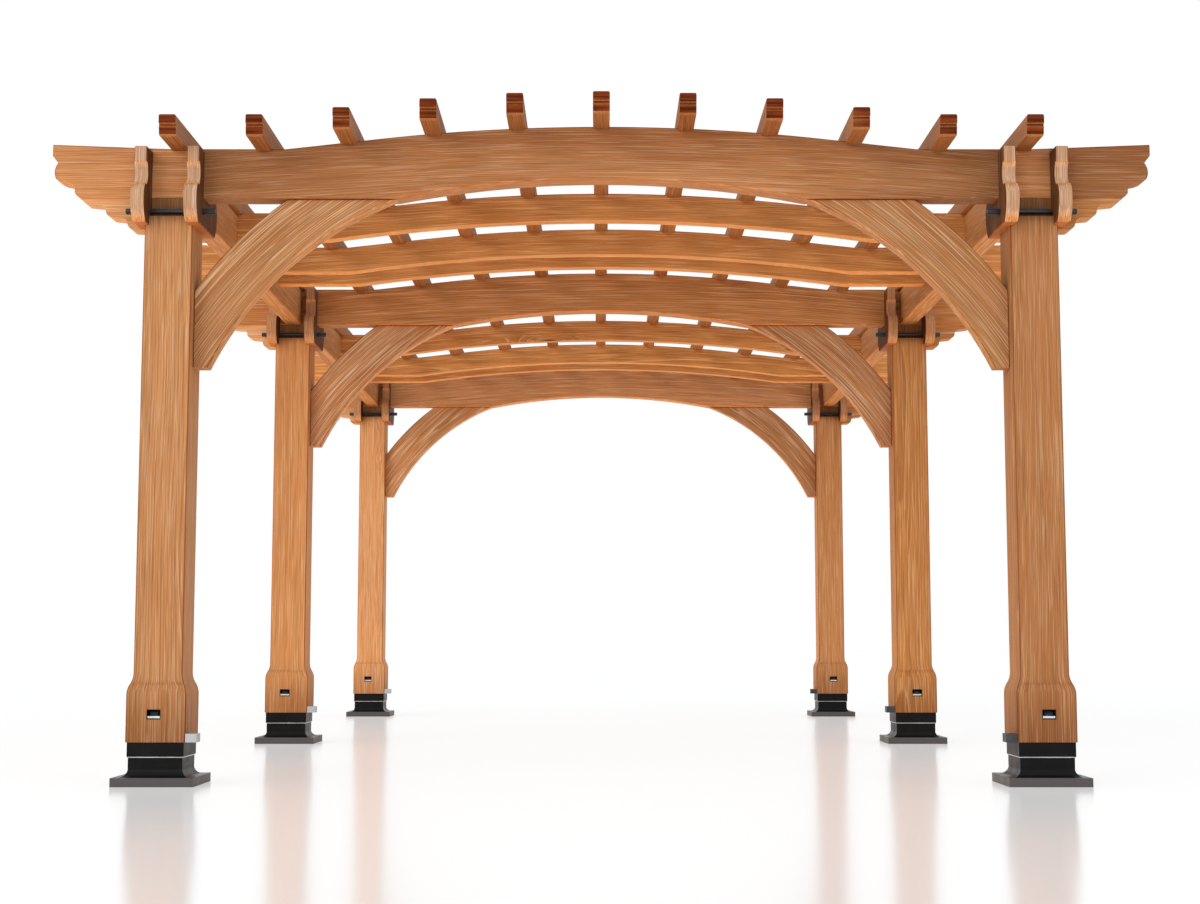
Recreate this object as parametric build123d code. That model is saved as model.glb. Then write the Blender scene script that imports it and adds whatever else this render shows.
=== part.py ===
"""Timber pergola: three arched frames on six posts, tied by side headers and eleven purlins.

Millimetres, +Z up, front towards -Y. The origin lies on the ground under the middle of the plan.
Every timber is a solid of its own, and seats on or butts against the timber that carries it.
"""
from build123d import *
from math import hypot, sqrt
import os

os.makedirs("parts", exist_ok=True)

# Plan and main height
post_spacing = 3440.0           # left to right, between post centres
front_bay = 2990.0              # front frame to middle frame
back_bay = 3650.0               # middle frame to back frame
arch_underside = 2320.0         # straight stretch of the arch beams, above the ground
frame_names = ["front", "middle", "back"]
side_names = {"left": -1, "right": 1}
eased_edge = 4.0                # chamfer along the edges of the timbers
shortest_eased_run = 50.0       # shorter edges are carving, and stay crisp

# Painted steel base under each post
plate_side = 320.0
plate_height = 34.0
skirt_side = 286.0              # foot of the hollow skirt, on the plate
skirt_height = 36.0
lower_band_side = 211.0
lower_band_height = 38.0
groove_side = 203.0
groove_height = 4.0
upper_band_side = 220.0
upper_band_height = 55.0
base_height = plate_height + skirt_height + lower_band_height + groove_height + upper_band_height

# Posts
post_side = 190.0
foot_side = 232.0               # swollen foot of the post
foot_height = 182.0             # straight part of the foot
foot_taper_height = 84.0
shoulder_drop = 82.0            # from the arch beam down to the shoulder of the post
bolt_pocket_width = 52.0
bolt_pocket_height = 37.0
bolt_pocket_depth = 40.0
bolt_pocket_rise = 107.0        # middle of the pocket above the end of the timber
bolt_pocket_shift = 8.0         # towards the outside of the pergola

# Anchor lug on the inner side of each foot
lug_reach = 44.0
lug_width = 66.0                # its front is flush with the foot
lug_height = 33.0

# Arch beams
arch_thickness = 115.0
arch_depth = 200.0
arch_top_rise = 92.0            # crown above the straight shoulders
crown_radius = 8000.0           # round middle stretch of the top edge
crown_half = 900.0              # the edge runs down straight beyond this, on to the shoulder
arch_soffit_rise = 80.0
tail_reach = 480.0              # from the post centre to the tip of a beam
tail_lift = 18.0                # the top edge climbs this much from the post centre to the tip
tail_drawing_depth = 200.0      # the depth at which the carved tail is drawn, and scales from

# Arched rafters between the frames
front_bay_rafters = [1100.0, 1850.0, 2175.0]    # distances from the front frame
back_bay_rafters = [1530.0, 2490.0, 2815.0]     # distances from the middle frame
rafter_thickness = 75.0
rafter_depth = 125.0
rafter_tail_reach = 415.0       # from the post centre to the tip of a rafter

# Side headers
header_thickness = 89.0
header_depth = 190.0

# Saddle cheeks, a pair of planks on every post
cheek_inner = 78.0              # from the post centre to the near face of a cheek
cheek_thickness = 52.0
cheek_bottom_drop = 120.0       # from the arch beam down to the bed cut in the post
cheek_bed_reach = 58.0          # the flat underside runs this far beyond the face of the post
cheek_nose_reach = 100.0        # beyond the face of the post
cheek_nose_rise = 32.0          # level top of the nose, above the arch beam's underside
nose_belly_height = 75.0        # round stretch under the upright face of the nose
nose_brow_height = 40.0         # round stretch over it
nose_brow_reach = 23.0
horn_reach = 92.0               # beyond the face of the arch beam
horn_height = 188.0
horn_notch_depth = 20.0         # the horn is hollowed above the nose
horn_notch_height = 96.0

# Tail corbels under the arch tails
corbel_thickness = 100.0
corbel_reach = 360.0            # from the post centre to the tip of the corbel
corbel_depth = 127.0
scallop_drawing_depth = 127.0   # the depth at which the scallops are drawn, and scale from

# Knee braces
brace_thickness = 75.0
brace_width = 210.0
brace_radius = 1385.0
brace_foot_drop = 684.0         # from the arch beam down to the foot cut
brace_foot_width = 58.0
brace_reach = 805.0             # along the arch beam, from the face of the post

# Purlins
purlin_count = 11
purlin_spacing = 338.0
purlin_width = 66.0
purlin_height = 84.0
purlin_seat = 8.0               # depth of the housings cut for the purlins
purlin_overhang = 232.0         # beyond the outer faces of the end arch beams

# Derived places
post_half = post_side / 2
arch_half = arch_thickness / 2
arch_top = arch_underside + arch_depth
shoulder_height = arch_underside - shoulder_drop
cheek_bottom = arch_underside - cheek_bottom_drop
cheek_outer = cheek_inner + cheek_thickness
bays = [(front_bay, front_bay_rafters), (back_bay, back_bay_rafters)]
frame_places = [-(front_bay + back_bay) / 2, (front_bay - back_bay) / 2, (front_bay + back_bay) / 2]
post_places = {side: sign * post_spacing / 2 for side, sign in side_names.items()}
purlin_half_length = (front_bay + back_bay) / 2 + arch_half + purlin_overhang


def upright(outline, thickness):
    """A piece with this outline seen from the front, centred on the plane of its frame."""
    return extrude(Plane.XZ * make_face(outline.edges()), thickness / 2, both=True)


def lengthwise(outline, thickness):
    """A piece with this outline seen from the side, centred on the middle of its width."""
    return extrude(Plane.YZ * make_face(outline.edges()), thickness / 2, both=True)


def block(x_range, y_range, z_range):
    """A plain block between two values on each axis."""
    size = [high - low for low, high in (x_range, y_range, z_range)]
    middle = [(high + low) / 2 for low, high in (x_range, y_range, z_range)]
    return Pos(*middle) * Box(*size)


def eased(timber, axis, curves=True):
    """The same timber with its long edges chamfered on both flat faces across an axis."""
    faces = timber.faces().sort_by(axis)
    around = faces[0].edges() + faces[-1].edges()
    long_edges = around.filter_by(lambda edge: edge.length > shortest_eased_run)
    return chamfer(long_edges if curves else long_edges.filter_by(GeomType.LINE), eased_edge)


def square_turning(half_outline):
    """A four-sided moulding: the same half outline shows on its front and on its side."""
    outline = half_outline + mirror(half_outline, Plane.YZ)
    reach = 2 * plate_side
    return upright(outline, reach) & lengthwise(outline, reach)


def crown_drop(place):
    """Fall of the round middle stretch below its crown, at a distance from the middle."""
    return crown_radius - sqrt(crown_radius ** 2 - place ** 2)


def shoulder_start():
    """Distance from the middle at which the falling line under the crown meets the shoulder."""
    slope = crown_half / sqrt(crown_radius ** 2 - crown_half ** 2)
    return crown_half + (arch_top_rise - crown_drop(crown_half)) / slope


def top_height(place):
    """Top of the arch beams and rafters at a distance from the middle of the frame."""
    reach = abs(place)
    if reach <= crown_half:
        return arch_top + arch_top_rise - crown_drop(reach)
    fallen = (reach - crown_half) / (shoulder_start() - crown_half)
    return arch_top + max(0.0, 1 - fallen) * (arch_top_rise - crown_drop(crown_half))


def carved_tail(tip, top, depth):
    """Right-hand end of a beam: a beak, a round nose, and two hollow steps down to the soffit."""
    unit = depth / tail_drawing_depth

    def at(inward, down):
        return (tip - inward * unit, top - down * unit)

    foot = at(118, tail_drawing_depth)
    beak = Polyline((tip, top + tail_lift), at(0, 28), at(22, 56))
    nose = ThreePointArc(at(22, 56), at(9, 86), at(15, 122)) + Line(at(15, 122), at(38, 132))
    first_step = ThreePointArc(at(38, 132), at(66, 140), at(92, 160)) + Line(at(92, 160), at(92, 178))
    second_step = ThreePointArc(at(92, 178), at(102, 192), foot)
    return beak + nose + first_step + second_step, foot


def arched_timber(depth, reach, soffit_half, soffit_rise):
    """Outline of a beam with straight shoulders, a raised middle and a carved tail at each end."""
    lift_start = post_spacing / 2
    tip_half = lift_start + reach
    tail, tail_foot = carved_tail(tip_half, arch_top, depth)
    bottom = arch_top - depth
    crown_end = (crown_half, top_height(crown_half))
    shoulder = Polyline(
        crown_end, (shoulder_start(), arch_top), (lift_start, arch_top), (tip_half, arch_top + tail_lift))
    side = shoulder + tail + Line(tail_foot, (soffit_half, bottom))
    crown = ThreePointArc((-crown_end[0], crown_end[1]), (0, arch_top + arch_top_rise), crown_end)
    soffit = ThreePointArc((-soffit_half, bottom), (0, bottom + soffit_rise), (soffit_half, bottom))
    return side + mirror(side, Plane.YZ) + crown + soffit


def purlin_places():
    """Distance of each purlin from the middle, left to right."""
    return [(index - (purlin_count - 1) / 2) * purlin_spacing for index in range(purlin_count)]


def purlin_housings():
    """Blocks that cut the seat of every purlin, as long as the thickest beam."""
    housings = []
    for place in purlin_places():
        bed = top_height(place) - purlin_seat
        x_range = (place - purlin_width / 2, place + purlin_width / 2)
        housings.append(block(x_range, (-arch_thickness, arch_thickness), (bed, bed + purlin_height)))
    return housings


def post_outline(foot, shaft):
    """Right-hand half of a post's outline, from half the width of its foot and of its shaft."""
    foot_top = base_height + foot_height
    taper_top = foot_top + foot_taper_height
    taper_middle = ((foot + shaft) / 2, (foot_top + taper_top) / 2)
    return (
        Polyline((0, base_height), (foot, base_height), (foot, foot_top))
        + TangentArc((foot, foot_top), taper_middle, tangent=(0, 1))
        + TangentArc((shaft, taper_top), taper_middle, tangent=(0, -1))
        + Polyline((shaft, taper_top), (shaft, arch_underside), (0, arch_underside)))


def post():
    """Post with a swollen foot, beds for the cheeks and a tongue under the arch beam."""
    foot = foot_side / 2
    across_corners = [sqrt(2) * half - eased_edge / sqrt(2) for half in (foot, post_half)]
    timber = square_turning(post_outline(foot, post_half))
    timber &= Rot(Z=45) * square_turning(post_outline(*across_corners))
    wide = (-post_side, post_side)
    above_bed = (cheek_bottom, arch_underside + post_side)
    for sign in (-1, 1):
        near, far = sorted((sign * cheek_inner, sign * post_side))
        timber -= block((near, far), wide, above_bed)
        near, far = sorted((sign * arch_half, sign * post_side))
        timber -= block(wide, (near, far), (shoulder_height, arch_underside + post_side))
        near, far = sorted((sign * (foot - bolt_pocket_depth), sign * foot_side))
        pocket_middle = base_height + bolt_pocket_rise
        timber -= block(
            (bolt_pocket_shift - bolt_pocket_width / 2, bolt_pocket_shift + bolt_pocket_width / 2),
            (near, far),
            (pocket_middle - bolt_pocket_height / 2, pocket_middle + bolt_pocket_height / 2))
    return timber


def post_base():
    """Base casting: plate, hollow skirt, and two bands with a groove between them."""
    skirt_top = plate_height + skirt_height
    lower_top = skirt_top + lower_band_height
    groove_top = lower_top + groove_height
    plate, skirt, lower, groove, upper = [
        side / 2 for side in (plate_side, skirt_side, lower_band_side, groove_side, upper_band_side)]
    hollow = (lower + 0.2 * (skirt - lower), plate_height + 0.3 * skirt_height)
    half = (
        Polyline((0, 0), (plate, 0), (plate, plate_height), (skirt, plate_height))
        + ThreePointArc((skirt, plate_height), hollow, (lower, skirt_top))
        + Polyline(
            (lower, skirt_top), (lower, lower_top), (groove, lower_top), (groove, groove_top),
            (upper, groove_top), (upper, base_height), (0, base_height)))
    return square_turning(half)


def saddle_cheek():
    """Cheek on the right of a post: a plank with a nose below, and two horns that clasp the arch beam."""
    bed_end = post_half + cheek_bed_reach
    nose = post_half + cheek_nose_reach
    horn = arch_half + horn_reach
    nose_top = arch_underside + cheek_nose_rise
    notch_top = nose_top + horn_notch_height
    horn_top = arch_underside + horn_height
    face_foot = cheek_bottom + nose_belly_height
    face_head = nose_top - nose_brow_height
    belly_middle = (nose - 0.18 * (nose - bed_end), cheek_bottom + 0.62 * nose_belly_height)
    brow_middle = (nose - 0.37 * nose_brow_reach, nose_top - 0.45 * nose_brow_height)
    notch_middle = (horn - horn_notch_depth, (nose_top + notch_top) / 2)
    cheek_half = (
        Line((0, cheek_bottom), (bed_end, cheek_bottom))
        + ThreePointArc((bed_end, cheek_bottom), belly_middle, (nose, face_foot))
        + Line((nose, face_foot), (nose, face_head))
        + ThreePointArc((nose, face_head), brow_middle, (nose - nose_brow_reach, nose_top))
        + Line((nose - nose_brow_reach, nose_top), (horn, nose_top))
        + ThreePointArc((horn, nose_top), notch_middle, (horn, notch_top))
        + Polyline(
            (horn, notch_top), (horn, horn_top), (arch_half, horn_top),
            (arch_half, arch_underside), (0, arch_underside)))
    plank = lengthwise(cheek_half + mirror(cheek_half, Plane.YZ), cheek_thickness)
    plank = eased(plank, Axis.X, curves=False)
    return Pos(X=cheek_inner + cheek_thickness / 2) * plank


def tail_corbel():
    """Corbel on the right of a post: three carved scallops under the tail of the arch beam."""
    bottom = arch_underside - corbel_depth
    tip = corbel_reach
    level = arch_underside
    unit = corbel_depth / scallop_drawing_depth

    def at(inward, down):
        return (tip - inward * unit, level - down * unit)

    first = ThreePointArc(at(0, 0), at(6, 13), at(22, 19)) + Line(at(22, 19), at(68, 24))
    first += ThreePointArc(at(68, 24), at(88, 31), at(96, 48))
    second = ThreePointArc(at(96, 48), at(103, 67), at(119, 76)) + Line(at(119, 76), at(160, 80))
    second += ThreePointArc(at(160, 80), at(177, 87), at(184, 101))
    foot = at(212, scallop_drawing_depth)
    third = ThreePointArc(at(184, 101), at(192, 119), foot)
    closing = Polyline(foot, (post_half, bottom), (post_half, level), at(0, 0))
    timber = upright(first + second + third + closing, corbel_thickness)
    cheek_bed = block(
        (0, cheek_outer), (-corbel_thickness, corbel_thickness), (cheek_bottom, level + post_half))
    return timber - cheek_bed


def knee_brace():
    """Curved brace to the right of a left-hand post, cut from one ring between two arcs."""
    foot = (post_half + brace_foot_width, arch_underside - brace_foot_drop)
    tip = (post_half + brace_reach, arch_underside)
    chord = (tip[0] - foot[0], tip[1] - foot[1])
    half_chord = hypot(*chord) / 2
    offset = sqrt(brace_radius ** 2 - half_chord ** 2) / (2 * half_chord)
    centre = ((foot[0] + tip[0]) / 2 + chord[1] * offset, (foot[1] + tip[1]) / 2 - chord[0] * offset)
    outer_radius = brace_radius + brace_width
    head_start = centre[0] - sqrt(outer_radius ** 2 - (arch_underside - centre[1]) ** 2)
    back_height = centre[1] + sqrt(outer_radius ** 2 - (centre[0] - post_half) ** 2)
    lean = 1 / sqrt(2)
    belly = (centre[0] - brace_radius * lean, centre[1] + brace_radius * lean)
    back = (centre[0] - outer_radius * lean, centre[1] + outer_radius * lean)
    outline = (
        Line((post_half, foot[1]), foot) + ThreePointArc(foot, belly, tip)
        + Line(tip, (head_start, arch_underside))
        + ThreePointArc((head_start, arch_underside), back, (post_half, back_height))
        + Line((post_half, back_height), (post_half, foot[1])))
    return eased(upright(outline, brace_thickness), Axis.Y)


def purlin():
    """Purlin with a beaded and stepped end, standing on its own underside."""
    end = purlin_half_length
    height = purlin_height
    half = (
        Polyline((0, height), (end, height), (end, 0.6 * height))
        + ThreePointArc((end, 0.6 * height), (end - 9, 0.56 * height), (end - 10, 0.48 * height))
        + Polyline((end - 10, 0.48 * height), (end - 5, 0.42 * height), (end - 8, 0.36 * height))
        + Polyline((end - 8, 0.36 * height), (end - 12, 0.1 * height), (end - 20, 0), (0, 0)))
    return eased(lengthwise(half + mirror(half, Plane.YZ), purlin_width), Axis.X)


def side_header(bay, rafter_places):
    """A side header as long as one bay, notched over its top for the rafters."""
    top = arch_underside + header_depth
    timber = block(
        (-header_thickness / 2, header_thickness / 2), (arch_half, bay - arch_half), (arch_underside, top))
    timber = chamfer(timber.edges().filter_by(Axis.Y), eased_edge)
    for place in rafter_places:
        y_range = (place - rafter_thickness / 2, place + rafter_thickness / 2)
        timber -= block((-header_thickness, header_thickness), y_range, (lap_height(), top + header_depth))
    return timber


def lap_height():
    """Level where the notched header meets the notched rafter."""
    rafter_bottom = arch_top - rafter_depth
    header_top = arch_underside + header_depth
    return (rafter_bottom + header_top) / 2


def arch_beam(soffit_half):
    """Arch beam with a housing for every purlin."""
    outline = arched_timber(arch_depth, tail_reach, soffit_half, arch_soffit_rise)
    return eased(upright(outline, arch_thickness), Axis.Y) - purlin_housings()


def arched_rafter():
    """Rafter with housings for the purlins, and notched from below over each side header."""
    outline = arched_timber(rafter_depth, rafter_tail_reach, shoulder_start(), arch_top_rise)
    timber = eased(upright(outline, rafter_thickness), Axis.Y, curves=False) - purlin_housings()
    for centre in post_places.values():
        x_range = (centre - header_thickness / 2, centre + header_thickness / 2)
        timber -= block(x_range, (-arch_thickness, arch_thickness), (arch_underside, lap_height()))
    return timber


def write(name, *solids):
    """Write one named piece, or several like pieces that stand apart, to its file."""
    shape = solids[0] if len(solids) == 1 else Compound(children=list(solids))
    export_step(shape, f"parts/{name}.step")


def placed(timber, side, frame_place):
    """A piece made for the right-hand side, set on its post and mirrored for the left."""
    turned = timber if side_names[side] > 0 else mirror(timber, Plane.YZ)
    return Pos(post_places[side], frame_place, 0) * turned


post_timber = post()
base_casting = post_base()
lug = block(
    (foot_side / 2, foot_side / 2 + lug_reach), (-foot_side / 2, lug_width - foot_side / 2),
    (base_height, base_height + lug_height))
cheek = saddle_cheek()
corbel = tail_corbel()
brace = knee_brace()
beam = arch_beam(post_spacing / 2 - post_half - brace_reach)
rafter = arched_rafter()
headers = [side_header(bay, rafter_places) for bay, rafter_places in bays]
purlin_timber = purlin()

for frame, place in zip(frame_names, frame_places):
    for side in side_names:
        write(f"post_{frame}_{side}", placed(post_timber, side, place))
        write(f"post_base_{frame}_{side}", placed(base_casting, side, place))
    write(f"arch_beam_{frame}", Pos(0, place, 0) * beam)
    left_brace = Pos(post_places["left"], place, 0) * brace
    write(f"knee_braces_{frame}", left_brace, mirror(left_brace, Plane.YZ))
    cheeks = []
    for centre in post_places.values():
        cheeks += [Pos(centre, place, 0) * cheek, Pos(centre, place, 0) * mirror(cheek, Plane.YZ)]
    write(f"saddle_cheeks_{frame}", *cheeks)

for side in side_names:
    write(f"tail_corbels_{side}", *[placed(corbel, side, place) for place in frame_places])
    placed_headers = [
        Pos(post_places[side], place, 0) * header for place, header in zip(frame_places, headers)]
    write(f"side_header_{side}", *placed_headers)

rafter_number = 0
for frame_place, (bay, rafter_places) in zip(frame_places, bays):
    for place in rafter_places:
        rafter_number += 1
        write(f"arched_rafter_{rafter_number}", Pos(0, frame_place + place, 0) * rafter)

for number, place in enumerate(purlin_places(), start=1):
    write(f"purlin_{number:02d}", Pos(place, 0, top_height(place) - purlin_seat) * purlin_timber)

lugs = []
for place in frame_places:
    lugs += [Pos(post_places["left"], place, 0) * lug]
    lugs += [Pos(post_places["right"], place, 0) * mirror(lug, Plane.YZ)]
write("anchor_lugs", *lugs)
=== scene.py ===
"""Timber pergola dressed for its picture: brushed softwood on black painted bases, with its
tie rods, sleeve nuts and foot bolts. Metres, +Z up, front towards -Y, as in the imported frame."""
from math import pi, radians

import bpy
import numpy as np
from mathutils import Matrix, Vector


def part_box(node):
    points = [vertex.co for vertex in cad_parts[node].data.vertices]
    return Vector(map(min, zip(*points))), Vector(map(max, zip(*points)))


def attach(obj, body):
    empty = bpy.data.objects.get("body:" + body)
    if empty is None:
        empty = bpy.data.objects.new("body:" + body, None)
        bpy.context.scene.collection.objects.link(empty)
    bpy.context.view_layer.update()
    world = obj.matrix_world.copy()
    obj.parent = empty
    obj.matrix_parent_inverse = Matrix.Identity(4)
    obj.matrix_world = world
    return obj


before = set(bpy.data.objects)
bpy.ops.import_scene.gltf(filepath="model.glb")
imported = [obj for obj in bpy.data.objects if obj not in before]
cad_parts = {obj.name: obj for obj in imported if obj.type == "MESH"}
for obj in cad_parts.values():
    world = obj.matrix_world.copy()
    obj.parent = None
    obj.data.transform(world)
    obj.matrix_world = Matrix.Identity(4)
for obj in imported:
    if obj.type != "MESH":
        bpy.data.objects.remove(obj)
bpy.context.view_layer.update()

# Sizes and places repeated from the part's source
POST_X = 1.720
FRAME_Y = {"front": -3.320, "middle": -0.330, "back": 3.320}
ARCH_UNDERSIDE = 2.320
ARCH_HALF = 0.0575
BASE_TOP = 0.167
FOOT_HALF = 0.116
FOOT_TOP = 0.349
FOOT_TAPER_TOP = 0.433
POST_HALF = 0.095
SHOULDER_Z = 2.238
PLATE_TOP = 0.034
GROOVE_HALF = 0.1015
GROOVE_Z = (0.108, 0.112)
CHEEK_OUTER = 0.130
POCKET_Z = 0.274
POCKET_SHIFT = 0.008
POCKET_SIZE = (0.052, 0.037, 0.040)
BRACE_MIDDLE = (1.376, 2.081)    # x and z of the middle of a brace on the right

# The arch that the grain of the arched timbers follows: half its width, and its rise
ARCH_SPAN = 1.60
ARCH_RISE = 0.075

# Colours, as linear values
AMBER = (0.610, 0.262, 0.088)
RUSSET = (0.410, 0.145, 0.043)
LATEWOOD = (0.240, 0.074, 0.021)
CREAM = (0.800, 0.480, 0.255)
KNOT = (0.130, 0.036, 0.014)
END_STAIN = (0.90, 0.70, 0.50)
EDGE_STAIN = (0.62, 0.43, 0.28)
EDGE_LIGHT = (1.06, 0.84, 0.56)

# How strongly each part of the wood shows, and how dark or red its shaded places are
LATE_STRENGTH, BROWN_STRENGTH, PALE_STRENGTH = 0.28, 0.34, 0.80
KNOT_RARITY = 0.76               # the share of cells without a knot
KNOT_STAIN, KNOT_DARKNESS = 0.25, 0.85
GRAIN_DEPTH = 0.0009
WOOD_GLOSS = 0.10
UNDER_LIGHT = 1.38
FOOT_SHADE, FOOT_TONE = 0.74, -0.45
TONGUE_SHADE = 0.50
# Painted shade on the inner sides of the cheeks: how much darker and redder they are
CHEEK_INNER_SHADE, CHEEK_INNER_SHADE_TONE = 0.30, -0.70
SIDES_APART = 1.7                # each brace is moved this far along its grain, by its side
CHEEKS_APART = 1.3               # and each cheek this far


# Node wiring

def add(tree, kind, inputs=(), **settings):
    """Add one node, set its options, and link or fill its inputs."""
    node = tree.nodes.new(kind)
    for name, value in settings.items():
        setattr(node, name, value)
    for name, value in dict(inputs).items():
        if isinstance(value, bpy.types.NodeSocket):
            tree.links.new(value, node.inputs[name])
        else:
            node.inputs[name].default_value = value
    return node


def calc(tree, operation, first, second=0.0, clamp=False):
    """One arithmetic step on two numbers."""
    return add(tree, "ShaderNodeMath", {0: first, 1: second}, operation=operation, use_clamp=clamp).outputs[0]


def vector(tree, operation, first, second):
    """One arithmetic step on two vectors."""
    return add(tree, "ShaderNodeVectorMath", {0: first, 1: second}, operation=operation).outputs[0]


def stretch(tree, value, low, high, to_low=0.0, to_high=1.0, smooth=True):
    """Carry a number from one range to another, eased at both ends unless smooth is off."""
    kind = "SMOOTHSTEP" if smooth else "LINEAR"
    inputs = {"Value": value, "From Min": low, "From Max": high, "To Min": to_low, "To Max": to_high}
    return add(tree, "ShaderNodeMapRange", inputs, interpolation_type=kind).outputs[0]


def noise(tree, place, scale, detail, rough=0.5):
    """Noise between 0 and 1, with a scale of its own on each axis."""
    inputs = {
        "Vector": vector(tree, "MULTIPLY", place, scale), "Scale": 1.0, "Detail": detail, "Roughness": rough}
    return add(tree, "ShaderNodeTexNoise", inputs)


def wobble(tree, place, scale, detail):
    """Noise with a value of its own on each axis, between minus and plus a half."""
    return vector(tree, "SUBTRACT", noise(tree, place, scale, detail).outputs["Color"], (0.5, 0.5, 0.5))


def scaled(tree, value, factor):
    """A vector or a colour times a number."""
    return add(tree, "ShaderNodeVectorMath", {0: value, "Scale": factor}, operation="SCALE").outputs[0]


def length_of(tree, value):
    """The length of a vector."""
    return add(tree, "ShaderNodeVectorMath", {0: value}, operation="LENGTH").outputs["Value"]


def parts_of(tree, value):
    """The three parts of a vector."""
    return add(tree, "ShaderNodeSeparateXYZ", {0: value}).outputs


def joined(tree, x=0.0, y=0.0, z=0.0):
    """A vector from its three parts."""
    return add(tree, "ShaderNodeCombineXYZ", {0: x, 1: y, 2: z}).outputs[0]


def blend(tree, amount, first, second):
    """Mix two colours."""
    return add(tree, "ShaderNodeMix", {0: amount, 6: first, 7: second}, data_type="RGBA").outputs[2]


def rgba(colour):
    """A colour with full alpha."""
    return (*colour, 1.0)


# Wood

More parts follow.
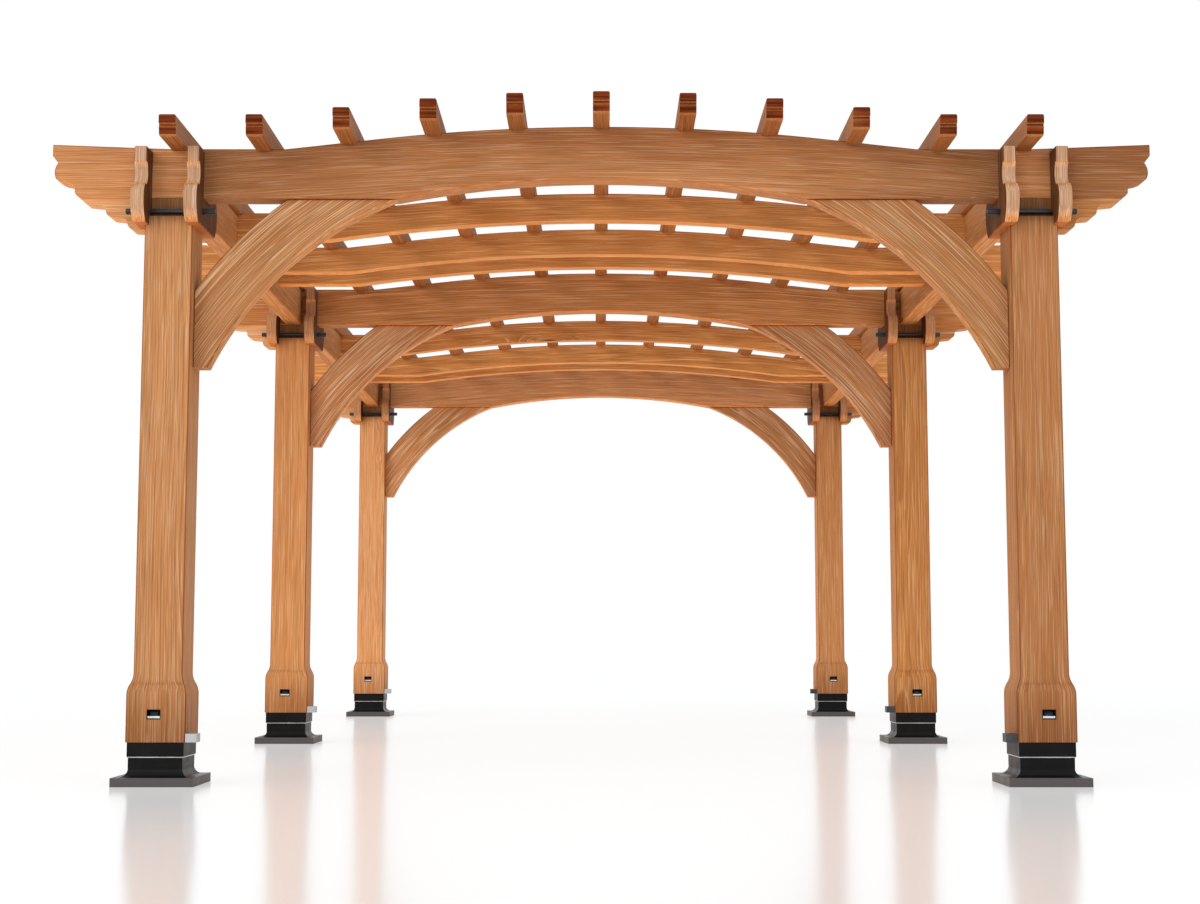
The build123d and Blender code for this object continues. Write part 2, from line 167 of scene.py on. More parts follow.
def softwood_group():
    """Brushed softwood for a board whose grain runs along x.

    Growth rings are circles around a pith line beside the board. Slow noise wanders the place
    before the distance is taken, so the rings show as long wavy lines on the faces and as arcs
    on the ends. A ring is a light thin line, an even stretch, and a darker late band. Two noises
    drawn out along the grain add the short pale and brown strokes between the rings."""
    tree = bpy.data.node_groups.new("brushed softwood", "ShaderNodeTree")
    for name in ("Place", "Gain", "EndGain", "EdgeGain"):
        tree.interface.new_socket(name, in_out="INPUT", socket_type="NodeSocketVector")
    for name in ("End", "Edge", "Tone", "Lines", "Rings", "Wave", "Shade"):
        tree.interface.new_socket(name, in_out="INPUT", socket_type="NodeSocketFloat")
    for name, kind in (("Color", "Color"), ("Roughness", "Float"), ("Normal", "Vector")):
        tree.interface.new_socket(name, in_out="OUTPUT", socket_type="NodeSocket" + kind)
    given = tree.nodes.new("NodeGroupInput").outputs
    place = given["Place"]

    # knots: a sparse choice of cells, pressed along the grain
    cells = vector(tree, "MULTIPLY", place, (1.1, 5.2, 5.2))
    voronoi = add(tree, "ShaderNodeTexVoronoi", {"Vector": cells, "Scale": 1.0, "Randomness": 1.0})
    draw = add(tree, "ShaderNodeSeparateColor", {0: voronoi.outputs["Color"]}).outputs[0]
    chosen = calc(tree, "GREATER_THAN", draw, KNOT_RARITY)
    near = voronoi.outputs["Distance"]
    knot_pull = calc(tree, "MULTIPLY", stretch(tree, near, 0.0, 0.36, 1.0, 0.0), chosen)
    knot_heart = calc(tree, "MULTIPLY", stretch(tree, near, 0.025, 0.070, 1.0, 0.0), chosen)

    # the wandering place
    slow = wobble(tree, place, (0.70, 2.6, 2.6), 1.0)
    quick = scaled(tree, wobble(tree, place, (3.6, 18.0, 18.0), 2.0), given["Wave"])
    wandered = vector(tree, "ADD", place, vector(tree, "MULTIPLY", slow, (0, 0.032, 0.032)))
    wandered = vector(tree, "ADD", wandered, vector(tree, "MULTIPLY", quick, (0, 1, 1)))
    across = vector(tree, "MULTIPLY", wandered, (0, 1, 1))
    radius = calc(tree, "ADD", length_of(tree, across), calc(tree, "MULTIPLY", knot_pull, 0.026))

    # one ring, from 0 to 1
    uneven = noise(tree, across, (0, 9.0, 9.0), 1.0).outputs[0]
    turns = calc(tree, "MULTIPLY", radius, given["Rings"])
    ring = calc(tree, "FRACT", calc(tree, "ADD", turns, calc(tree, "MULTIPLY", uneven, 3.0)))
    late = calc(tree, "MULTIPLY", stretch(tree, ring, 0.45, 0.92), stretch(tree, ring, 0.94, 1.0, 1.0, 0.0))
    light = stretch(tree, ring, 0.0, 0.22, 1.0, 0.0)
    light = calc(tree, "MAXIMUM", light, stretch(tree, ring, 0.95, 1.0))
    broken = stretch(tree, noise(tree, place, (2.2, 34.0, 34.0), 2.0).outputs[0], 0.40, 0.60)
    light = calc(tree, "MULTIPLY", light, broken)

    # strokes and fibres between the rings
    around_knot = vector(tree, "MULTIPLY", joined(tree, y=knot_pull, z=knot_pull), (0, 0.018, 0.018))
    pulled = vector(tree, "ADD", wandered, around_knot)
    long = calc(tree, "SUBTRACT", 1.0, given["End"], clamp=True)
    pale = stretch(tree, noise(tree, pulled, (3.4, 240.0, 240.0), 1.5, 0.5).outputs[0], 0.53, 0.66)
    pale = calc(tree, "MULTIPLY", pale, long)
    brown = stretch(tree, noise(tree, pulled, (2.8, 160.0, 160.0), 2.0, 0.5).outputs[0], 0.50, 0.66)
    brown = calc(tree, "MULTIPLY", brown, long)
    streaks = noise(tree, pulled, (1.0, 48.0, 48.0), 2.0, 0.6).outputs[0]
    fibres = noise(tree, wandered, (9.0, 520.0, 520.0), 2.0, 0.6).outputs[0]
    patches = noise(tree, place, (0.9, 4.0, 4.0), 2.0).outputs[0]

    tone = calc(tree, "ADD", stretch(tree, patches, 0.25, 0.75, 0.34, 0.66), given["Tone"], clamp=True)
    color = blend(tree, tone, rgba(RUSSET), rgba(AMBER))
    color = blend(tree, calc(tree, "MULTIPLY", late, LATE_STRENGTH), color, rgba(LATEWOOD))
    color = blend(tree, calc(tree, "MULTIPLY", brown, BROWN_STRENGTH), color, rgba(LATEWOOD))
    pale_share = calc(tree, "MULTIPLY", given["Lines"], PALE_STRENGTH)
    color = blend(tree, calc(tree, "MULTIPLY", pale, pale_share), color, rgba(CREAM))
    color = blend(tree, calc(tree, "MULTIPLY", light, given["Lines"]), color, rgba(CREAM))
    fine = calc(tree, "MULTIPLY", stretch(tree, fibres, 0.3, 0.7, -0.09, 0.09), long)
    shade = calc(tree, "ADD", stretch(tree, streaks, 0.25, 0.75, 0.92, 1.08), fine)
    color = scaled(tree, color, calc(tree, "MULTIPLY", shade, given["Shade"]))
    color = vector(tree, "MULTIPLY", color, given["Gain"])
    color = blend(tree, given["End"], color, vector(tree, "MULTIPLY", color, given["EndGain"]))
    color = blend(tree, given["Edge"], color, vector(tree, "MULTIPLY", color, given["EdgeGain"]))
    color = blend(tree, calc(tree, "MULTIPLY", knot_pull, KNOT_STAIN), color, rgba(RUSSET))
    color = blend(tree, calc(tree, "MULTIPLY", knot_heart, KNOT_DARKNESS), color, rgba(KNOT))

    height = calc(tree, "ADD", calc(tree, "MULTIPLY", late, 0.6), calc(tree, "MULTIPLY", fibres, 0.7))
    height = calc(tree, "SUBTRACT", height, calc(tree, "MULTIPLY", calc(tree, "ADD", light, pale), 0.5))
    bump = add(tree, "ShaderNodeBump", {"Strength": 0.5, "Distance": GRAIN_DEPTH, "Height": height})
    rough = stretch(tree, streaks, 0.2, 0.8, 0.52, 0.66)
    rough = calc(tree, "ADD", rough, calc(tree, "MULTIPLY", light, 0.08))
    given_out = tree.nodes.new("NodeGroupOutput")
    tree.links.new(color, given_out.inputs["Color"])
    tree.links.new(rough, given_out.inputs["Roughness"])
    tree.links.new(bump.outputs[0], given_out.inputs["Normal"])
    return tree


SOFTWOOD = softwood_group()
TURNS = {"x": (0, 0, 0), "y": (0, 0, -pi / 2), "z": (0, pi / 2, 0)}
AXES = {"x": (1, 0, 0), "y": (0, 1, 0), "z": (0, 0, 1)}


def turned(tree, place, along, pith):
    """Turn a place so that the grain runs along x, with the pith line at the given offset."""
    inputs = {"Vector": place, "Location": pith, "Rotation": TURNS[along]}
    return add(tree, "ShaderNodeMapping", inputs).outputs[0]


def facing(tree, coords, axis):
    """How squarely a face looks along one axis, either way, from 0 to 1."""
    dot = add(tree, "ShaderNodeVectorMath", {0: coords["Normal"], 1: AXES[axis]}, operation="DOT_PRODUCT")
    return calc(tree, "ABSOLUTE", dot.outputs["Value"])


def end_mask(tree, coords, along):
    """1 on faces across the grain, 0 on faces along it."""
    return stretch(tree, facing(tree, coords, along), 0.72, 0.9)


def edge_mask(tree, coords, across):
    """1 on the chamfers beside the faces that look along one axis, 0 elsewhere."""
    size = facing(tree, coords, across)
    return calc(tree, "MULTIPLY", stretch(tree, size, 0.45, 0.62), stretch(tree, size, 0.80, 0.95, 1.0, 0.0))


def under_gain(tree, coords):
    """Undersides catch the light that the floor throws up."""
    down = parts_of(tree, coords["Normal"])[2]
    return stretch(tree, down, -0.62, -0.30, UNDER_LIGHT, 1.0)


def edge_gain(tree, coords):
    """Chamfers are stained dark, but those that look down catch the light of the floor."""
    down = parts_of(tree, coords["Normal"])[2]
    return blend(tree, stretch(tree, down, -0.5, -0.2, 1.0, 0.0), rgba(EDGE_STAIN), rgba(EDGE_LIGHT))


def flattened(tree, coords):
    """The place in an arched timber, with the rise of the arch taken out of its height."""
    parts = parts_of(tree, coords["Object"])
    span = calc(tree, "DIVIDE", parts[0], ARCH_SPAN)
    rise = calc(tree, "SUBTRACT", 1.0, calc(tree, "MULTIPLY", span, span), clamp=True)
    height = calc(tree, "SUBTRACT", parts[2], calc(tree, "MULTIPLY", rise, ARCH_RISE))
    return joined(tree, parts[0], parts[1], height)


def wood(name, place_and_end, tone, lines, gain, rings=120.0, wave=0.0030, across="y",
         end_gain=END_STAIN, front_gain=None, shade=None, warmer=None):
    """A wood material whose place and end mask come from a small function.

    An end mask of None means that no face of the timber shows its end grain. lines is the
    strength of the pale lines, rings their number per metre, and wave how far they wander. across
    is the axis that the broad faces look along. front_gain is a further gain for faces that look
    along y, and shade and warmer are functions that give a shade and an added tone."""
    material = bpy.data.materials.new(name)
    material.use_nodes = True
    tree = material.node_tree
    shader = tree.nodes["Principled BSDF"]
    coords = tree.nodes.new("ShaderNodeTexCoord").outputs
    place, end = place_and_end(tree, coords)
    group = add(tree, "ShaderNodeGroup", node_tree=SOFTWOOD)
    tree.links.new(place, group.inputs["Place"])
    if end is not None:
        tree.links.new(end, group.inputs["End"])
    tree.links.new(edge_mask(tree, coords, across), group.inputs["Edge"])
    tree.links.new(edge_gain(tree, coords), group.inputs["EdgeGain"])
    given = {"Tone": tone, "Lines": lines, "Rings": rings, "Wave": wave, "Gain": gain, "EndGain": end_gain}
    for socket, value in given.items():
        group.inputs[socket].default_value = value
    lit = under_gain(tree, coords)
    if shade is not None:
        lit = calc(tree, "MULTIPLY", lit, shade(tree, coords))
    tree.links.new(lit, group.inputs["Shade"])
    if front_gain is not None:
        on_front = end_mask(tree, coords, "y")
        front = tuple(part * more for part, more in zip(gain, front_gain))
        tree.links.new(blend(tree, on_front, rgba(gain), rgba(front)), group.inputs["Gain"])
    if warmer is not None:
        tree.links.new(calc(tree, "ADD", warmer(tree, coords), tone), group.inputs["Tone"])
    for given_by, taken_by in (("Color", "Base Color"), ("Roughness", "Roughness"), ("Normal", "Normal")):
        tree.links.new(group.outputs[given_by], shader.inputs[taken_by])
    shader.inputs["Specular IOR Level"].default_value = WOOD_GLOSS
    return material


def board(along, pith):
    """A straight board: the grain runs along one axis."""
    def place_and_end(tree, coords):
        return turned(tree, coords["Object"], along, pith), end_mask(tree, coords, along)
    return place_and_end


def arched_board(pith):
    """An arch beam or rafter: the grain runs along x and rises over the middle."""
    def place_and_end(tree, coords):
        return vector(tree, "ADD", flattened(tree, coords), pith), end_mask(tree, coords, "x")
    return place_and_end


def curved_board(frame_y, turn_radius, pith):
    """A pair of braces, one each side: the grain runs around a centre in the plane of their frame.

    The distance from the middle of the frame stands for x, so both braces share one centre. They
    are moved along their grain, each its own way, so that the two differ."""
    lean = turn_radius / np.sqrt(2)

    def place_and_end(tree, coords):
        parts = parts_of(tree, coords["Object"])
        sideways = calc(tree, "SUBTRACT", calc(tree, "ABSOLUTE", parts[0]), BRACE_MIDDLE[0] - lean)
        upward = calc(tree, "SUBTRACT", parts[2], BRACE_MIDDLE[1] - lean)
        reach = length_of(tree, joined(tree, x=sideways, z=upward))
        along = calc(tree, "MULTIPLY", calc(tree, "ARCTAN2", upward, sideways), turn_radius)
        shift = calc(tree, "MULTIPLY", calc(tree, "SIGN", parts[0]), SIDES_APART)
        place = joined(
            tree, calc(tree, "ADD", along, shift), calc(tree, "SUBTRACT", reach, turn_radius),
            calc(tree, "SUBTRACT", parts[1], frame_y))
        return vector(tree, "ADD", place, pith), None
    return place_and_end


def post_board(centre, pith):
    """A post: the grain runs upwards, and spreads with the timber towards its swollen foot."""
    def place_and_end(tree, coords):
        height = parts_of(tree, coords["Object"])[2]
        spread = stretch(tree, height, FOOT_TOP, FOOT_TAPER_TOP, POST_HALF / FOOT_HALF, 1.0)
        scale = joined(tree, spread, spread, 1.0)
        local = vector(tree, "SUBTRACT", coords["Object"], (centre[0], centre[1], 0))
        place = turned(tree, vector(tree, "MULTIPLY", local, scale), "z", pith)
        return place, end_mask(tree, coords, "z")
    return place_and_end


def cheek_plank(frame_y, pith):
    """The saddle cheeks of one frame: the grain runs upwards, in lines that show on the front.

    The distance from the middle of the frame stands for x, and the two sides are moved apart
    along the grain so that they differ."""
    def place_and_end(tree, coords):
        parts = parts_of(tree, coords["Object"])
        shift = calc(tree, "MULTIPLY", calc(tree, "SIGN", parts[0]), CHEEKS_APART)
        along = calc(tree, "ADD", parts[2], shift)
        sideways = calc(tree, "SUBTRACT", calc(tree, "ABSOLUTE", parts[0]), POST_X - 0.30)
        depth = calc(tree, "MULTIPLY", calc(tree, "SUBTRACT", parts[1], frame_y), 0.25)
        place = vector(tree, "ADD", joined(tree, along, sideways, depth), (pith[0], 0, 0))
        return place, end_mask(tree, coords, "z")
    return place_and_end


def purlin_shade(tree, coords):
    """Painted light and shade: the moulded ends of the purlins are banded light and dark for their steps."""
    parts = parts_of(tree, coords["Object"])
    place = joined(tree, x=calc(tree, "MULTIPLY", parts[0], 3.0), z=parts[2])
    shade_bands = stretch(tree, noise(tree, place, (1.0, 1.0, 62.0), 2.0).outputs[0], 0.38, 0.62, 0.55, 1.55)
    on_end = end_mask(tree, coords, "y")
    return calc(tree, "ADD", calc(tree, "MULTIPLY", on_end, shade_bands), calc(tree, "SUBTRACT", 1.0, on_end))


def post_shade(tree, coords):
    """Posts are darker towards the ground, and in the shade between the cheeks."""
    height = parts_of(tree, coords["Object"])[2]
    low = stretch(tree, height, BASE_TOP - 0.05, FOOT_TOP + 0.16, FOOT_SHADE, 1.0)
    high = stretch(tree, height, SHOULDER_Z - 0.04, SHOULDER_Z + 0.01, 1.0, TONGUE_SHADE)
    return calc(tree, "MULTIPLY", low, high)


def post_tone(tree, coords):
    """Posts are redder towards the ground."""
    height = parts_of(tree, coords["Object"])[2]
    return stretch(tree, height, BASE_TOP, FOOT_TAPER_TOP, FOOT_TONE, 0.0)


def inward(tree, coords, on_inner, elsewhere):
    """One value on the faces that look towards the middle of the pergola, another on the rest."""
    towards = parts_of(tree, coords["Normal"])[0]
    side = calc(tree, "SIGN", parts_of(tree, coords["Object"])[0])
    return stretch(tree, calc(tree, "MULTIPLY", towards, side), -0.9, -0.5, on_inner, elsewhere)


def cheek_shade(tree, coords):
    """Painted shade: the inner sides of the cheeks, which stand in shade, are darker."""
    return inward(tree, coords, CHEEK_INNER_SHADE, 1.0)


def cheek_shade_tone(tree, coords):
    """Painted shade: the inner sides of the cheeks, which stand in shade, are redder."""
    return inward(tree, coords, CHEEK_INNER_SHADE_TONE, 0.0)


def arch_tone(tree, coords):
    """Arched timbers are golden along the soffit and redder along the top."""
    height = parts_of(tree, flattened(tree, coords))[2]
    return stretch(tree, height, ARCH_UNDERSIDE + 0.02, ARCH_UNDERSIDE + 0.20, 0.22, -0.24)


def between_cheeks(tree, sideways):
    """1 where the arch passes between the cheeks of a post, 0 elsewhere."""
    from_post = calc(tree, "ABSOLUTE", calc(tree, "SUBTRACT", calc(tree, "ABSOLUTE", sideways), POST_X))
    return stretch(tree, from_post, 0.070, 0.085, 1.0, 0.0)


def tail_shade(tree, coords):
    """Painted light and shade on the front arch: lightest at its left-hand tail and between the cheeks, then
    in the middle.
    """
    sideways = parts_of(tree, coords["Object"])[0]
    reach = calc(tree, "ABSOLUTE", sideways)
    left = stretch(tree, sideways, -1.90, -1.78, 0.42, 0.0)
    middle = stretch(tree, reach, 0.5, 1.3, 0.20, 0.0)
    right = stretch(tree, sideways, 0.8, 1.6, 0.96, 0.88)
    # painted light between the cheeks, against the shade they cast on the arch
    clasped = calc(tree, "MULTIPLY", between_cheeks(tree, sideways), 0.50)
    return calc(tree, "ADD", calc(tree, "ADD", right, clasped), calc(tree, "ADD", left, middle))


def front_arch_tone(tree, coords):
    """As the other arches, but paler between the cheeks and on the left and redder on the right, beside
    tail_shade's painted light.
    """
    sideways = parts_of(tree, coords["Object"])[0]
    left = stretch(tree, sideways, -1.90, -1.60, 0.62, 0.0)
    right = stretch(tree, sideways, 0.7, 1.7, 0.0, -0.22)
    clasped = calc(tree, "MULTIPLY", between_cheeks(tree, sideways), 0.35)
    tone = calc(tree, "ADD", arch_tone(tree, coords), clasped)
    return calc(tree, "ADD", tone, calc(tree, "ADD", left, right))


def brace_shade(tree, coords):
    """The right-hand braces stand a little in the shade."""
    sideways = parts_of(tree, coords["Object"])[0]
    return stretch(tree, sideways, -0.5, 0.5, 1.04, 0.92)


# Metals

def metal(name, colour, roughness, metallic, grain, depth, streak=(1, 1, 1), level=0.5, paler_below=None):
    """Painted or bare metal with uneven gloss and a fine surface.

    grain is the fineness of the surface and depth its height. streak draws it out along an axis,
    and level is the strength of its gloss where it isn't metallic. paler_below is an axis, a
    place and a colour: the metal is that colour below it."""
    material = bpy.data.materials.new(name)
    material.use_nodes = True
    tree = material.node_tree
    shader = tree.nodes["Principled BSDF"]
    place = tree.nodes.new("ShaderNodeTexCoord").outputs["Object"]
    cloudy = noise(tree, place, (14, 14, 14), 3.0).outputs[0]
    fine = noise(tree, place, tuple(grain * part for part in streak), 2.0).outputs[0]
    darker = tuple(0.72 * part for part in colour)
    tint = blend(tree, stretch(tree, cloudy, 0.3, 0.7), rgba(darker), rgba(colour))
    if paler_below:
        axis, edge, paler = paler_below
        value = parts_of(tree, place)[axis]
        tint = blend(tree, stretch(tree, value, edge - 0.0005, edge + 0.0005, 1.0, 0.0), tint, rgba(paler))
    tree.links.new(tint, shader.inputs["Base Color"])
    uneven = stretch(tree, cloudy, 0.3, 0.7, roughness - 0.05, roughness + 0.06)
    gloss = calc(tree, "ADD", uneven, calc(tree, "MULTIPLY", fine, 0.08))
    tree.links.new(gloss, shader.inputs["Roughness"])
    bump = add(tree, "ShaderNodeBump", {"Strength": 0.35, "Distance": depth, "Height": fine})
    tree.links.new(bump.outputs[0], shader.inputs["Normal"])
    shader.inputs["Metallic"].default_value = metallic
    shader.inputs["Specular IOR Level"].default_value = level
    return material


BLACK_PAINT = metal(
    "black_paint", (0.0060, 0.0060, 0.0066), 0.30, 0.0, 900.0, 0.00015, level=0.12,
    paler_below=(2, PLATE_TOP, (0.082, 0.082, 0.085)))
ZINC = metal(
    "dull_zinc", (0.085, 0.090, 0.095), 0.38, 1.0, 260.0, 0.0002, streak=(0.15, 1, 1),
    paler_below=(0, 0.0, (0.50, 0.50, 0.52)))
BRIGHT = metal("bright_steel", (0.84, 0.84, 0.85), 0.30, 1.0, 400.0, 0.0001)
BLUED = metal("blued_steel", (0.055, 0.066, 0.085), 0.34, 0.8, 500.0, 0.0002)


# Dress the nodes of the frame

def pith_for(number, side=0.11, up=0.16):
    """A different pith line for every timber, well beside it."""
    turn = 2.4 * number
    return (0.37 * number, side * np.cos(turn), up * np.sin(turn))


def dress(node, material):
    """Give a node of the frame its material."""
    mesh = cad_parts[node].data
    mesh.materials.clear()
    mesh.materials.append(material)


def centred(along, centre, pith):
    """The pith offset for a timber whose middle lies at a centre."""
    x, y, z = centre
    offset = {"x": (-x, -y, -z), "y": (-y, x, -z)}[along]
    return tuple(float(part + more) for part, more in zip(offset, pith))


def middle_of(node):
    """The middle of a node's box."""
    low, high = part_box(node)
    return [(a + b) / 2 for a, b in zip(low, high)]


# How much more amber than russet each timber is
TONES = {
    "post_front_left": 0.30, "post_front_right": 0.02, "post_middle_left": 0.40, "post_middle_right": 0.06,
    "post_back_left": 0.45, "post_back_right": 0.10, "arch_beam_front": -0.08, "arch_beam_middle": -0.15,
    "arch_beam_back": -0.10, "tail_corbels_left": 0.30, "tail_corbels_right": 0.0, "side_header_left": -0.1,
    "side_header_right": -0.1}

# How much redder, greener and bluer each timber's colour is than the common one
GAINS = {
    "post_front_left": (0.83, 0.92, 1.08), "post_front_right": (0.72, 0.77, 0.86),
    "post_middle_left": (1.00, 1.05, 1.12), "post_middle_right": (0.92, 0.98, 0.95),
    "post_back_left": (1.12, 1.26, 1.51), "post_back_right": (0.96, 1.04, 1.14),
    "arch_beam_front": (0.65, 0.68, 0.77), "arch_beam_middle": (0.92, 0.93, 0.93),
    "arch_beam_back": (1.04, 1.13, 1.33), "arched_rafter": (1.16, 1.19, 1.08),
    "knee_braces_front": (0.77, 0.85, 0.97), "knee_braces_middle": (0.98, 1.14, 1.45),
    "knee_braces_back": (0.95, 1.08, 1.30), "tail_corbels_left": (1.18, 1.42, 1.84),
    "tail_corbels_right": (0.95, 1.05, 1.10), "side_header": (0.94, 1.00, 1.01),
    "purlin": (0.61, 0.60, 0.60), "saddle_cheeks": (0.90, 0.95, 1.04)}

# Further gains: of the cheeks' faces to the front and back, and of the purlins' ends
CHEEK_FRONT = {"front": (1.02, 1.38, 2.20), "middle": (0.92, 1.00, 1.25), "back": (0.92, 1.00, 1.25)}
PURLIN_END = (0.46, 0.20, 0.060)
BRACE_TURN = 2.15                # radius about which the braces' grain runs


def gain_of(node):
    """The colour gain of a node, found by the longest name that its own begins with."""
    names = [name for name in GAINS if node.startswith(name)]
    return GAINS[max(names, key=len)] if names else (1.0, 1.0, 1.0)


for number, node in enumerate(sorted(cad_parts), start=1):
    tone = TONES.get(node, -0.05 + 0.14 * float(np.sin(3.7 * number)))
    gain = gain_of(node)
    if node.startswith("post_base"):
        dress(node, BLACK_PAINT)
    elif node == "anchor_lugs":
        dress(node, ZINC)
    elif node.startswith("knee_braces"):
        place = curved_board(FRAME_Y[node.split("_")[2]], BRACE_TURN, pith_for(number))
        dress(node, wood(
            node, place, tone, lines=0.88, rings=140.0, wave=0.0036, gain=gain, shade=brace_shade))
    elif node.startswith("saddle_cheeks"):
        frame_name = node.split("_")[2]
        place = cheek_plank(FRAME_Y[frame_name], pith_for(number))
        dress(node, wood(
            node, place, tone=0.15, lines=0.45, across="x", gain=gain,
            front_gain=CHEEK_FRONT[frame_name], shade=cheek_shade, warmer=cheek_shade_tone))
    elif node.startswith("post"):
        place = post_board(middle_of(node), pith_for(number, 0.30, 0.34))
        dress(node, wood(
            node, place, tone, lines=0.50, rings=165.0, gain=gain, shade=post_shade, warmer=post_tone))
    elif node.startswith("purlin"):
        pith = centred("y", middle_of(node), pith_for(number))
        dress(node, wood(
            node, board("y", pith), tone - 0.15, lines=0.30, across="x", gain=gain,
            end_gain=PURLIN_END, shade=purlin_shade))
    elif node.startswith("arch"):
        pith = centred("x", middle_of(node), pith_for(number, 0.20, 0.26))
        in_front = node == "arch_beam_front"
        dress(node, wood(
            node, arched_board(pith), tone, lines=0.50, rings=150.0, gain=gain,
            shade=tail_shade if in_front else None, warmer=front_arch_tone if in_front else arch_tone))
    else:
        along, across = ("y", "x") if node.startswith("side_header") else ("x", "y")
        pith = centred(along, middle_of(node), pith_for(number))
        dress(node, wood(node, board(along, pith), tone, lines=0.45, across=across, gain=gain))


# New pieces

SIDES = (-1, 1)
ROUND = 20                       # sides of a round turning
ROD_Z = 2.260
ROD_RADIUS = 0.009
ROD_AHEAD = 0.017                # from the face of the arch beam to the middle of the rod
LIP_THICKNESS = 0.0012


def new_piece(name, points, faces, material, slot):
    """Make a piece of the object from points and faces, and let it ride with the frame."""
    mesh = bpy.data.meshes.new(name)
    mesh.from_pydata(points.tolist(), [], faces)
    mesh.update()
    piece = bpy.data.objects.new(name, mesh)
    bpy.context.scene.collection.objects.link(piece)
    mesh.materials.append(material)
    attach(piece, "root")


def lathe(profile, sides):
    """A turning about the x axis.

    profile holds places along x and radii. Each ring has its points at equal angles, and the
    first and last rings are closed by a fan around their middle."""
    along, radii = np.array(profile, float).T
    angles = 2 * pi * np.arange(sides) / sides
    rings = np.stack([
        np.repeat(along, sides), np.outer(radii, np.cos(angles)).ravel(),
        np.outer(radii, np.sin(angles)).ravel()], 1)
    ends = np.array([[along[0], 0, 0], [along[-1], 0, 0]])
    points = np.vstack([rings, ends])
    ring = np.arange(sides)
    after = (ring + 1) % sides
    faces = []
    for row in range(len(along) - 1):
        low, high = row * sides, (row + 1) * sides
        faces += np.stack([low + ring, high + ring, high + after, low + after], 1).tolist()
    first, last = len(rings), len(rings) + 1
    top = (len(along) - 1) * sides
    faces += np.stack([np.full(sides, first), ring, after], 1).tolist()
    faces += np.stack([np.full(sides, last), top + after, top + ring], 1).tolist()
    return points, faces


def gathered(parts):
    """Several shapes as one list of points and faces."""
    points, faces, count = [], [], 0
    for some_points, some_faces in parts:
        points.append(some_points)
        faces += [[count + corner for corner in face] for face in some_faces]
        count += len(some_points)
    return np.vstack(points), faces


def moved(shape, offset, mirror=1):
    """A shape shifted to its place, and mirrored in x first where asked."""
    points, faces = shape
    points = points * (mirror, 1, 1) + offset
    if mirror < 0:
        faces = [face[::-1] for face in faces]
    return points, faces


def square_ring(section, half):
    """A profile carried round a square.

    section holds distances outside the square's side and heights. Each of the four corners has
    one copy of it, drawn out along both sides at once, so that the ring turns with mitres."""
    outward, height = np.array(section, float).T
    corners = np.array([[1, -1], [1, 1], [-1, 1], [-1, -1]])
    reach = half + outward
    points = np.concatenate([
        np.stack([corner[0] * reach, corner[1] * reach, height], 1) for corner in corners])
    count = len(section)
    step = np.arange(count)
    after = (step + 1) % count
    faces = []
    for corner in range(4):
        low, high = corner * count, (corner + 1) % 4 * count
        faces += np.stack([low + step, high + step, high + after, low + after], 1).tolist()
    return points, faces


def box(low, high):
    """A plate between two corners."""
    low, high = np.array(low, float), np.array(high, float)
    pick = np.array([[i & 1, i >> 1 & 1, i >> 2 & 1] for i in range(8)])
    faces = [[0, 2, 3, 1], [4, 5, 7, 6], [0, 1, 5, 4], [2, 6, 7, 3], [0, 4, 6, 2], [1, 3, 7, 5]]
    return np.where(pick == 1, high, low), faces


def liner(width, height, depth, wall, lip):
    """A sleeve in a pocket, open to the front, with a narrow lip around its mouth.

    Six rings of four corners, from the back of the outside, round the lip, to the back of the
    inside, are joined in turn and closed at the back by one more strip."""
    corners = np.array([[-1, -1], [1, -1], [1, 1], [-1, 1]]) / 2
    growths = [0.0, 0.0, lip, lip, -wall, -wall]
    places = [depth, 0.0, 0.0, -LIP_THICKNESS, -LIP_THICKNESS, depth]
    points = np.concatenate([
        np.column_stack([
            corners[:, 0] * (width + 2 * growth), np.full(4, place), corners[:, 1] * (height + 2 * growth)])
        for growth, place in zip(growths, places)])
    step = np.arange(4)
    after = (step + 1) % 4
    faces = []
    for ring in range(6):
        low, high = ring * 4, (ring + 1) % 6 * 4
        faces += np.stack([low + step, low + after, high + after, high + step], 1).tolist()
    return points, faces


def rod_cap(length):
    """The sleeve nut on one end of a tie rod, with a rounded rim."""
    return lathe([
        (0, 0.0105), (0.001, 0.0118), (length - 0.003, 0.0118), (length, 0.0095), (length, 0.006)], ROUND)


def at_pocket(shape, side, face, frame_y):
    """A shape made for a pocket's own middle, set in the front or the back of one foot."""
    points, faces = shape
    if face > 0:
        points = points * (-1, -1, 1)
    return points + (side * (POST_X + POCKET_SHIFT), frame_y + face * FOOT_HALF, POCKET_Z), faces


rod = lathe([
    (-CHEEK_OUTER, ROD_RADIUS - 0.002), (-CHEEK_OUTER, ROD_RADIUS),
    (CHEEK_OUTER, ROD_RADIUS), (CHEEK_OUTER, ROD_RADIUS - 0.002)], ROUND)
inner_cap, outer_cap = rod_cap(0.052), rod_cap(0.046)
for frame_name, y in FRAME_Y.items():
    rods, caps = [], []
    for x in (-POST_X, POST_X):
        place = np.array([x, y - ARCH_HALF - ROD_AHEAD, ROD_Z])
        rods.append(moved(rod, place))
        for side in SIDES:
            cap = inner_cap if side * x < 0 else outer_cap
            caps.append(moved(cap, place + (side * CHEEK_OUTER, 0, 0), side))
    new_piece("tie_rods_" + frame_name, *gathered(rods), BLUED, "black_steel")
    new_piece("rod_caps_" + frame_name, *gathered(caps), BLUED, "black_steel")

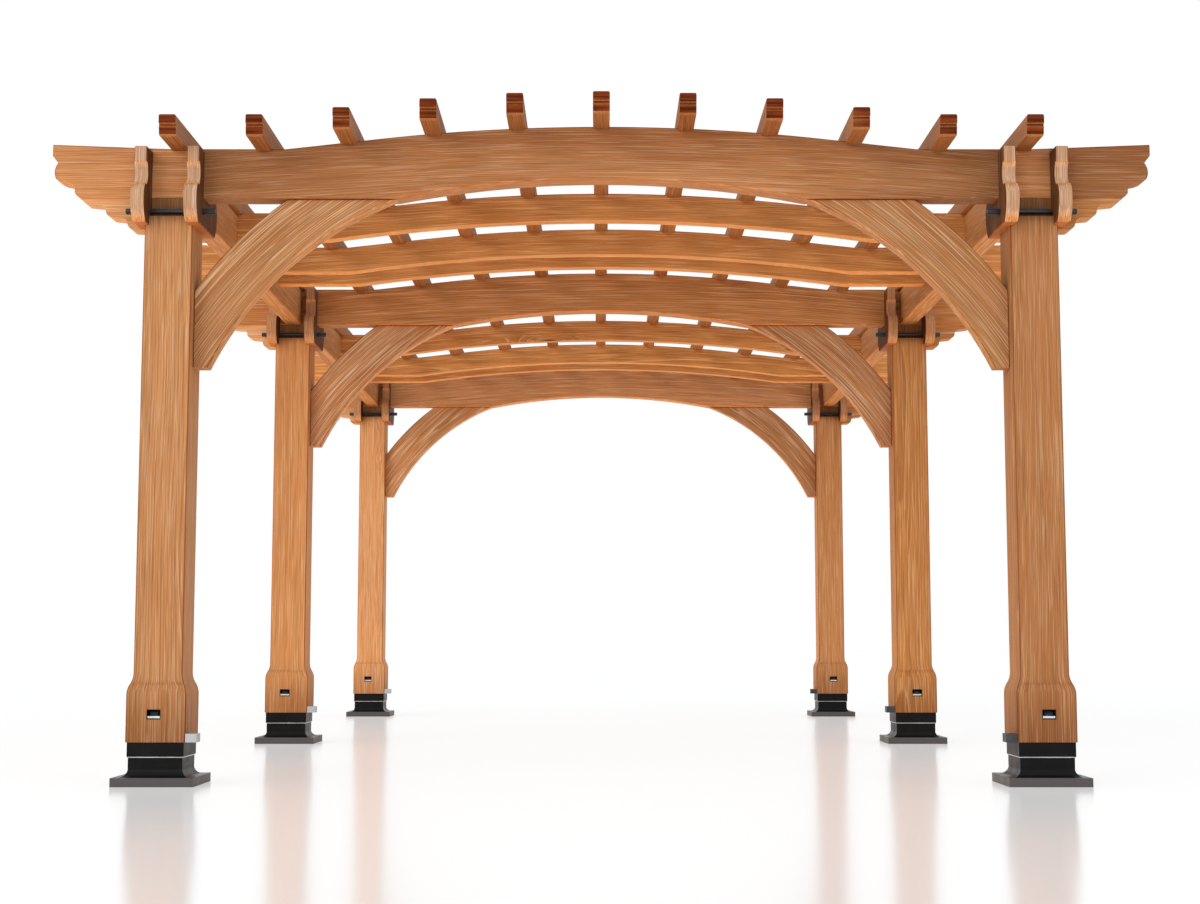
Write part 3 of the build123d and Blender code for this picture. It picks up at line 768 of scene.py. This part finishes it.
pocket_width, pocket_height, pocket_depth = POCKET_SIZE
sill = box(
    (-0.46 * pocket_width, 0.003, -0.5 * pocket_height + 0.004),
    (0.46 * pocket_width, 0.030, -0.5 * pocket_height + 0.012))
sleeve = liner(pocket_width, pocket_height, pocket_depth - 0.002, wall=0.0016, lip=0.0003)
back_plate = box(
    (-0.49 * pocket_width, pocket_depth - 0.004, -0.49 * pocket_height),
    (0.49 * pocket_width, pocket_depth - 0.001, 0.49 * pocket_height))
bolt = moved(lathe([
    (-0.017, 0.005), (-0.017, 0.0085), (-0.015, 0.0098),
    (0.015, 0.0098), (0.017, 0.0085), (0.017, 0.005)], 6), (0.0, 0.019, 0.0035))
for frame_name, y in FRAME_Y.items():
    sleeves, sills, bolts = [], [], []
    for side in SIDES:
        for face in SIDES:
            sleeves += [at_pocket(shape, side, face, y) for shape in (sleeve, back_plate)]
            sills.append(at_pocket(sill, side, face, y))
            bolts.append(at_pocket(bolt, side, face, y))
    new_piece("foot_sleeves_" + frame_name, *gathered(sleeves), BLACK_PAINT, "black_steel")
    new_piece("foot_sills_" + frame_name, *gathered(sills), BRIGHT, "grey_steel")
    new_piece("foot_bolts_" + frame_name, *gathered(bolts), BLUED, "black_steel")

bead_low, bead_high = GROOVE_Z
bead_middle = (bead_low + bead_high) / 2
bead = square_ring([
    (0.0, bead_low + 0.0001), (0.0066, bead_low + 0.0001), (0.0072, bead_middle),
    (0.0066, bead_high - 0.0001), (0.0, bead_high - 0.0002)], GROOVE_HALF)
new_piece("base_beads", *gathered([
    moved(bead, (x, y, 0.0)) for x in (-POST_X, POST_X) for y in FRAME_Y.values()]), BRIGHT, "grey_steel")


# Floor, light and camera

FLOOR_REACH = 80.0
FLOOR_MATT, FLOOR_GLOSS, FLOOR_PLAIN = 0.25, 0.46, 0.80
FLOOR_LIFT = (0.335, 0.342, 0.352, 1)
FLOOR_GLOW = (0.38, 0.22, 0.08, 1)
STUDIO_LIGHT = 0.72
CAMERA_PLACE = (-0.0053, -10.650, 0.557)
CAMERA_TILT = 95.816             # degrees, 90 is level
SENSOR_WIDTH, FOCAL_LENGTH = 36.0, 55.58


def floor():
    """A white floor.

    The camera sees it as part matt, part soft gloss and part light of its own, so that it is as
    white as the backdrop where nothing stands on it and keeps the shadows and reflections. Every
    other ray sees a plain matt floor, and matt surfaces see it a little brighter and warmer."""
    mesh = bpy.data.meshes.new("floor")
    corners = [(x * FLOOR_REACH, y * FLOOR_REACH, 0) for x, y in ((-1, -1), (1, -1), (1, 1), (-1, 1))]
    mesh.from_pydata(corners, [], [(0, 1, 2, 3)])
    ground = bpy.data.objects.new("floor", mesh)
    bpy.context.scene.collection.objects.link(ground)
    material = bpy.data.materials.new("studio_floor")
    material.use_nodes = True
    tree = material.node_tree
    tree.nodes.remove(tree.nodes["Principled BSDF"])
    matt = add(tree, "ShaderNodeBsdfDiffuse", {"Color": rgba([FLOOR_MATT] * 3)})
    gloss = add(tree, "ShaderNodeBsdfGlossy", {"Color": rgba([FLOOR_GLOSS] * 3), "Roughness": 0.16})
    lift = add(tree, "ShaderNodeEmission", {"Color": FLOOR_LIFT, "Strength": 1.0})
    shown = add(tree, "ShaderNodeAddShader", {0: matt.outputs[0], 1: gloss.outputs[0]})
    shown = add(tree, "ShaderNodeAddShader", {0: shown.outputs[0], 1: lift.outputs[0]})
    plain = add(tree, "ShaderNodeBsdfDiffuse", {"Color": rgba([FLOOR_PLAIN] * 3)})
    rays = tree.nodes.new("ShaderNodeLightPath").outputs
    glow = add(tree, "ShaderNodeEmission", {"Color": FLOOR_GLOW, "Strength": rays["Is Diffuse Ray"]})
    plain = add(tree, "ShaderNodeAddShader", {0: plain.outputs[0], 1: glow.outputs[0]})
    seen = rays["Is Camera Ray"]
    total = add(tree, "ShaderNodeMixShader", {0: seen, 1: plain.outputs[0], 2: shown.outputs[0]})
    tree.links.new(total.outputs[0], tree.nodes["Material Output"].inputs["Surface"])
    mesh.materials.append(material)


def sky():
    """Even studio light all round. The camera, glass and gloss see white."""
    world = bpy.data.worlds.new("studio")
    bpy.context.scene.world = world
    world.use_nodes = True
    tree = world.node_tree
    rays = tree.nodes.new("ShaderNodeLightPath").outputs
    seen = calc(tree, "MAXIMUM", rays["Is Glossy Ray"], rays["Is Transmission Ray"])
    seen = calc(tree, "MAXIMUM", rays["Is Camera Ray"], seen)
    strength = stretch(tree, seen, 0.0, 1.0, STUDIO_LIGHT, 1.0, smooth=False)
    background = tree.nodes["Background"]
    background.inputs["Color"].default_value = (1, 1, 1, 1)
    tree.links.new(strength, background.inputs["Strength"])


def soft_sun(name, towards, spread, strength, colour=(1, 1, 1)):
    """Light from a wide soft patch of the backdrop, equal at every distance.

    towards is the way the light goes, and spread the width of the patch in degrees."""
    light = bpy.data.lights.new(name, "SUN")
    light.angle = radians(spread)
    light.energy = strength
    light.color = colour
    holder = bpy.data.objects.new(name, light)
    bpy.context.scene.collection.objects.link(holder)
    holder.rotation_euler = Vector(towards).to_track_quat("-Z", "Y").to_euler()


floor()
sky()
soft_sun("left_window", (0.62, 0.72, -0.30), 40, 1.10)
soft_sun("low_window", (0.97, 0.06, -0.16), 50, 1.25, (1.0, 0.80, 0.42))
soft_sun("right_window", (-0.70, 0.66, -0.28), 40, 0.45)

lens = bpy.data.cameras.new("camera")
lens.sensor_width = SENSOR_WIDTH
lens.lens = FOCAL_LENGTH
camera = bpy.data.objects.new("camera", lens)
camera.location = CAMERA_PLACE
camera.rotation_euler = (radians(CAMERA_TILT), 0, 0)
bpy.context.scene.collection.objects.link(camera)
bpy.context.scene.camera = camera

bpy.context.scene.view_settings.view_transform = "Standard"
